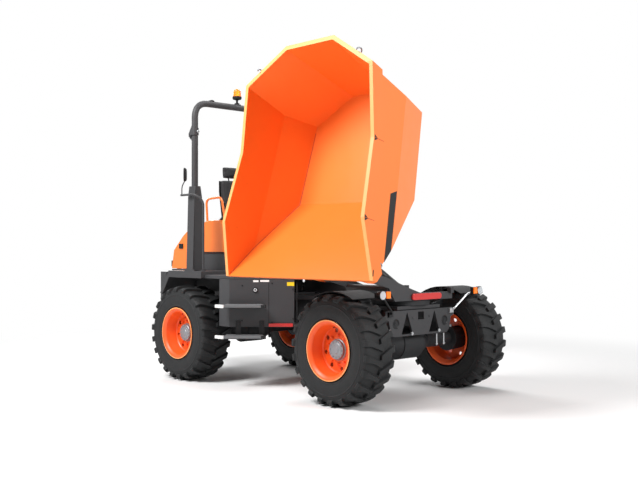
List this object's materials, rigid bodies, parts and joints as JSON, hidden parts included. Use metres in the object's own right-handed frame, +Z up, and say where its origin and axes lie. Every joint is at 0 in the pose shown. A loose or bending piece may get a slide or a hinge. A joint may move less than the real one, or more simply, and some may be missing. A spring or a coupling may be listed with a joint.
{
  "type": "articulated site dumper with a swivelling skip",
  "caption": "Site dumper: two chassis halves hinged in the middle on big lugged tyres, with a steel skip that swings to either side and tips forward to pour its load.",
  "frame": {"origin": "on the ground under the middle of the machine's box, with the skip swung right and tipped", "axes": "+X forward along the machine, +Y to its left, +Z up"},
  "size_m": [4.5304, 2.6768, 3.4466],
  "materials": {
    "orange_paint": "glossy orange two-coat paint",
    "dark_paint": "satin dark grey powder coat",
    "black_paint": "satin black",
    "black_plastic": "moulded, fine grain",
    "seat_vinyl": "grained seat vinyl",
    "tyre": "moulded rubber",
    "red_paint": "gloss red",
    "amber_lens": "clear amber",
    "cast_metal": "painted casting",
    "rod_chrome": "ground chrome"
  },
  "bodies": {
    "chassis_rear": {"rear_frame": "dark_paint", "rear_bumper": "dark_paint", "rear_axle": "cast_metal", "engine_block": "cast_metal", "operator_floor": "dark_paint", "hood_sill": "dark_paint", "seat_base": "dark_paint", "seat_cushion": "seat_vinyl", "seat_back": "seat_vinyl", "steering_console": "black_plastic", "lock_bar": "red_paint", "side_tank_right": "dark_paint", "side_tank_left": "dark_paint", "rear_fender_right": "dark_paint", "rear_fender_left": "dark_paint", "steps_right": "dark_paint", "steps_left": "dark_paint", "console_right": "orange_paint", "console_left": "orange_paint", "rops_post_right": "dark_paint", "rops_post_left": "dark_paint", "handrail_right": "black_paint", "handrail_left": "black_paint", "mirror_right": "black_plastic", "mirror_left": "black_plastic"},
    "chassis_front": {"front_frame": "dark_paint", "front_axle": "cast_metal", "front_plate": "dark_paint", "slew_ring": "cast_metal", "front_fender_right": "black_plastic", "front_fender_left": "black_plastic", "headlight_right": "black_paint", "headlight_left": "black_paint"},
    "slew_frame": {"slew_frame": "dark_paint", "skip_prop": "red_paint"},
    "skip": {"skip": "orange_paint"},
    "tip_cylinder": {"tip_cylinder": "dark_paint"},
    "tip_rod": {"tip_rod": "rod_chrome"},
    "steer_cylinder": {"steer_cylinder": "dark_paint"},
    "steer_rod": {"steer_rod": "rod_chrome"},
    "engine_hood": {"engine_hood": "orange_paint"},
    "rops_hoop": {"rops_hoop": "dark_paint", "beacon": "amber_lens"},
    "steering_wheel": {"steering_wheel": "black_plastic"},
    "wheel_front_right": {"tyre_front_right": "tyre", "rim_front_right": "orange_paint"},
    "wheel_front_left": {"tyre_front_left": "tyre", "rim_front_left": "orange_paint"},
    "wheel_rear_right": {"tyre_rear_right": "tyre", "rim_rear_right": "orange_paint"},
    "wheel_rear_left": {"tyre_rear_left": "tyre", "rim_rear_left": "orange_paint"}
  },
  "joints": [
    {"name": "articulation_steer", "type": "hinge", "parent": "chassis_rear", "child": "chassis_front", "pos_m": [0.06513, 0.21837, 0.8], "axis": [0, 0, 1], "range_deg": [-33, 33]},
    {"name": "skip_slew", "type": "hinge", "parent": "chassis_front", "child": "slew_frame", "pos_m": [1.26513, 0.21837, 1], "axis": [0, 0, 1], "range_deg": [0, 180]},
    {"name": "skip_tip", "type": "hinge", "parent": "slew_frame", "child": "skip", "pos_m": [1.26513, -0.54663, 1.222], "axis": [-1, 0, 0], "range_deg": [0, 82]},
    {"name": "tip_cylinder_swing", "type": "hinge", "parent": "slew_frame", "child": "tip_cylinder", "pos_m": [1.26513, 0.26837, 1.045], "axis": [1, 0, 0], "range_deg": [0, 14.56]},
    {"name": "tip_rod_slide", "type": "slide", "parent": "tip_cylinder", "child": "tip_rod", "axis": [0, 0.8638, -0.5038], "range_m": [0, 0.30694]},
    {"name": "steer_cylinder_swing", "type": "hinge", "parent": "chassis_rear", "child": "steer_cylinder", "pos_m": [-0.55487, 0.58837, 0.575], "axis": [0, 0, 1], "range_deg": [-8.91, 8.91]},
    {"name": "steer_rod_slide", "type": "slide", "parent": "steer_cylinder", "child": "steer_rod", "axis": [0.997, -0.0775, 0], "range_m": [-0.18118, 0.18118]},
    {"name": "hood_open", "type": "hinge", "parent": "chassis_rear", "child": "engine_hood", "pos_m": [-2.12487, 0.21837, 1.25], "axis": [0, -1, 0], "range_deg": [0, 65]},
    {"name": "rops_fold", "type": "hinge", "parent": "chassis_rear", "child": "rops_hoop", "pos_m": [-1.13687, 0.21837, 2.8], "axis": [0, -1, 0], "range_deg": [0, 180]},
    {"name": "steering_wheel_turn", "type": "hinge", "parent": "chassis_rear", "child": "steering_wheel", "pos_m": [-0.66287, 0.21837, 1.902], "axis": [-0.3827, 0, 0.9239], "continuous": true},
    {"name": "wheel_front_right_spin", "type": "hinge", "parent": "chassis_front", "child": "wheel_front_right", "pos_m": [1.29813, -0.66813, 0.5375], "axis": [0, 1, 0], "continuous": true},
    {"name": "wheel_front_left_spin", "type": "hinge", "parent": "chassis_front", "child": "wheel_front_left", "pos_m": [1.29813, 1.10487, 0.5375], "axis": [0, 1, 0], "continuous": true},
    {"name": "wheel_rear_right_spin", "type": "hinge", "parent": "chassis_rear", "child": "wheel_rear_right", "pos_m": [-1.16787, -0.66813, 0.5375], "axis": [0, 1, 0], "continuous": true},
    {"name": "wheel_rear_left_spin", "type": "hinge", "parent": "chassis_rear", "child": "wheel_rear_left", "pos_m": [-1.16787, 1.10487, 0.5375], "axis": [0, 1, 0], "continuous": true}
  ],
  "couplings": [
    {"joint": "tip_cylinder_swing", "follows": "skip_tip", "ratio": 0.17692},
    {"joint": "tip_rod_slide", "follows": "skip_tip", "m_per_rad": 0.21412},
    {"joint": "steer_cylinder_swing", "follows": "articulation_steer", "ratio": 0.26851},
    {"joint": "steer_rod_slide", "follows": "articulation_steer", "m_per_rad": -0.31371}
  ]
}
